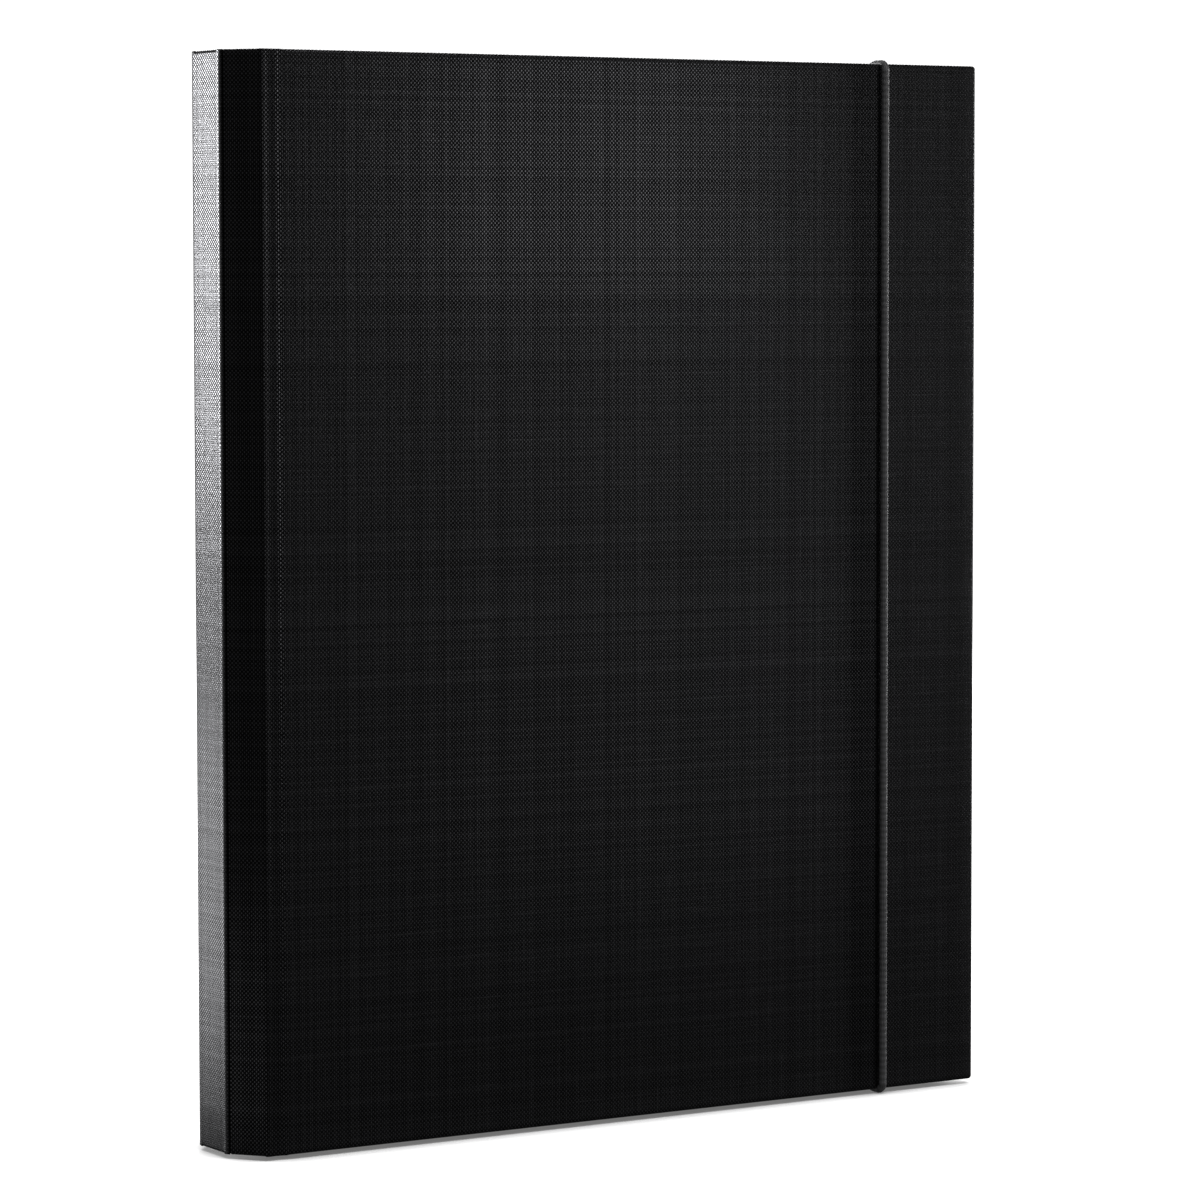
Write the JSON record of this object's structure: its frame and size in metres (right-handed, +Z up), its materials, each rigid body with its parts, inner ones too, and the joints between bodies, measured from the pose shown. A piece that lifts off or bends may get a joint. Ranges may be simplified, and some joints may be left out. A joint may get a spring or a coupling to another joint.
{
  "type": "sketchbook",
  "caption": "Hardcover sketchbook: black book-cloth case with a flat bevelled spine, sewn sections of blank leaves and a round elastic cord that holds it shut.",
  "frame": {"origin": "under the middle of the closed book, at the lowest point it stands on", "axes": "+Z up along the spine towards the head, -Y out of the front cover, +X from the spine to the fore edge"},
  "size_m": [0.233, 0.0398, 0.2883],
  "materials": {
    "cover_cloth": "black plain-weave book cloth with a soft satin size",
    "cover_board": "dense grey binder's board",
    "endpaper": "matt black endpaper",
    "leaf": "uncoated off-white drawing paper with a light tooth",
    "sewing_thread": "waxed linen thread",
    "lining_cloth": "open-weave starched lining cloth",
    "end_band": "black worked end band",
    "elastic": "round braided elastic cord over a rubber core",
    "barb": "stamped steel"
  },
  "bodies": {
    "back_cover": {"back_board": "cover_board", "back_cloth": "cover_cloth", "back_pastedown": "endpaper", "elastic_barbs": "barb"},
    "back_bevel": {"back_bevel_board": "cover_board", "back_bevel_cloth": "cover_cloth"},
    "spine": {"spine_board": "cover_board", "spine_cloth": "cover_cloth", "spine_lining": "lining_cloth", "head_band": "end_band", "tail_band": "end_band"},
    "front_bevel": {"front_bevel_board": "cover_board", "front_bevel_cloth": "cover_cloth"},
    "front_cover": {"front_board": "cover_board", "front_cloth": "cover_cloth", "front_pastedown": "endpaper"},
    "elastic": {"elastic_cord": "elastic"},
    "section_01": {"section_01": "leaf", "sewing_thread_01": "sewing_thread", "front_flyleaf": "endpaper"},
    "section_02": {"section_02": "leaf", "sewing_thread_02": "sewing_thread"},
    "section_03": {"section_03": "leaf", "sewing_thread_03": "sewing_thread"},
    "section_04": {"section_04": "leaf", "sewing_thread_04": "sewing_thread"},
    "section_05": {"section_05": "leaf", "sewing_thread_05": "sewing_thread"},
    "section_06": {"section_06": "leaf", "sewing_thread_06": "sewing_thread"},
    "section_07": {"section_07": "leaf", "sewing_thread_07": "sewing_thread"},
    "section_08": {"section_08": "leaf", "sewing_thread_08": "sewing_thread"},
    "section_09": {"section_09": "leaf", "sewing_thread_09": "sewing_thread"},
    "section_10": {"section_10": "leaf", "sewing_thread_10": "sewing_thread"},
    "section_11": {"section_11": "leaf", "sewing_thread_11": "sewing_thread"},
    "section_12": {"section_12": "leaf", "sewing_thread_12": "sewing_thread", "back_flyleaf": "endpaper"}
  },
  "joints": [
    {"name": "back_joint_hinge", "type": "hinge", "parent": "back_cover", "child": "back_bevel", "pos_m": [-0.1089, 0.0175, 0.14415], "axis": [0, 0, -1], "range_deg": [0, 52.49]},
    {"name": "back_spine_hinge", "type": "hinge", "parent": "back_bevel", "child": "spine", "pos_m": [-0.1165, 0.0076, 0.14415], "axis": [0, 0, -1], "range_deg": [0, 37.52]},
    {"name": "front_spine_hinge", "type": "hinge", "parent": "spine", "child": "front_bevel", "pos_m": [-0.1165, -0.0076, 0.14415], "axis": [0, 0, -1], "range_deg": [0, 37.52]},
    {"name": "front_joint_hinge", "type": "hinge", "parent": "front_bevel", "child": "front_cover", "pos_m": [-0.1089, -0.0175, 0.14415], "axis": [0, 0, -1], "range_deg": [0, 52.5]},
    {"name": "section_06_turn", "type": "hinge", "parent": "spine", "child": "section_06", "pos_m": [-0.1035, 0, 0.14415], "axis": [0, 0, -1], "range_deg": [0, 20.01], "deforming": ["spine_lining", "head_band", "tail_band"]},
    {"name": "section_05_turn", "type": "hinge", "parent": "section_06", "child": "section_05", "pos_m": [-0.1035, -0.00225, 0.14415], "axis": [0, 0, -1], "range_deg": [0, 8.81]},
    {"name": "section_04_turn", "type": "hinge", "parent": "section_05", "child": "section_04", "pos_m": [-0.1035, -0.0045, 0.14415], "axis": [0, 0, -1], "range_deg": [0, 8.81]},
    {"name": "section_03_turn", "type": "hinge", "parent": "section_04", "child": "section_03", "pos_m": [-0.1035, -0.00675, 0.14415], "axis": [0, 0, -1], "range_deg": [0, 8.81]},
    {"name": "section_02_turn", "type": "hinge", "parent": "section_03", "child": "section_02", "pos_m": [-0.1035, -0.009, 0.14415], "axis": [0, 0, -1], "range_deg": [0, 8.81]},
    {"name": "section_01_turn", "type": "hinge", "parent": "section_02", "child": "section_01", "pos_m": [-0.1035, -0.01125, 0.14415], "axis": [0, 0, -1], "range_deg": [0, 8.81]},
    {"name": "section_07_turn", "type": "hinge", "parent": "spine", "child": "section_07", "pos_m": [-0.1035, 0, 0.14415], "axis": [0, 0, 1], "range_deg": [0, 20.01]},
    {"name": "section_08_turn", "type": "hinge", "parent": "section_07", "child": "section_08", "pos_m": [-0.1035, 0.00225, 0.14415], "axis": [0, 0, 1], "range_deg": [0, 8.81]},
    {"name": "section_09_turn", "type": "hinge", "parent": "section_08", "child": "section_09", "pos_m": [-0.1035, 0.0045, 0.14415], "axis": [0, 0, 1], "range_deg": [0, 8.81]},
    {"name": "section_10_turn", "type": "hinge", "parent": "section_09", "child": "section_10", "pos_m": [-0.1035, 0.00675, 0.14415], "axis": [0, 0, 1], "range_deg": [0, 8.81]},
    {"name": "section_11_turn", "type": "hinge", "parent": "section_10", "child": "section_11", "pos_m": [-0.1035, 0.009, 0.14415], "axis": [0, 0, 1], "range_deg": [0, 8.81]},
    {"name": "section_12_turn", "type": "hinge", "parent": "section_11", "child": "section_12", "pos_m": [-0.1035, 0.01125, 0.14415], "axis": [0, 0, 1], "range_deg": [0, 8.81]},
    {"name": "elastic_swing", "type": "hinge", "parent": "back_cover", "child": "elastic", "pos_m": [0.0845, 0.0175, 0.14415], "axis": [0, 0, 1], "range_deg": [0, 180.01], "deforming": ["elastic_cord"]}
  ],
  "couplings": [
    {"joint": "back_spine_hinge", "follows": "back_joint_hinge", "ratio": 0.7147},
    {"joint": "front_spine_hinge", "follows": "back_joint_hinge", "ratio": 0.7147},
    {"joint": "front_joint_hinge", "follows": "back_joint_hinge", "ratio": 1},
    {"joint": "section_06_turn", "follows": "back_joint_hinge", "ratio": 0.38104},
    {"joint": "section_05_turn", "follows": "back_joint_hinge", "ratio": 0.16766},
    {"joint": "section_04_turn", "follows": "back_joint_hinge", "ratio": 0.16766},
    {"joint": "section_03_turn", "follows": "back_joint_hinge", "ratio": 0.16766},
    {"joint": "section_02_turn", "follows": "back_joint_hinge", "ratio": 0.16766},
    {"joint": "section_01_turn", "follows": "back_joint_hinge", "ratio": 0.16766},
    {"joint": "section_07_turn", "follows": "back_joint_hinge", "ratio": 0.38104},
    {"joint": "section_08_turn", "follows": "back_joint_hinge", "ratio": 0.16766},
    {"joint": "section_09_turn", "follows": "back_joint_hinge", "ratio": 0.16766},
    {"joint": "section_10_turn", "follows": "back_joint_hinge", "ratio": 0.16766},
    {"joint": "section_11_turn", "follows": "back_joint_hinge", "ratio": 0.16766},
    {"joint": "section_12_turn", "follows": "back_joint_hinge", "ratio": 0.16766},
    {"joint": "elastic_swing", "follows": "back_joint_hinge", "ratio": 3.4294}
  ]
}
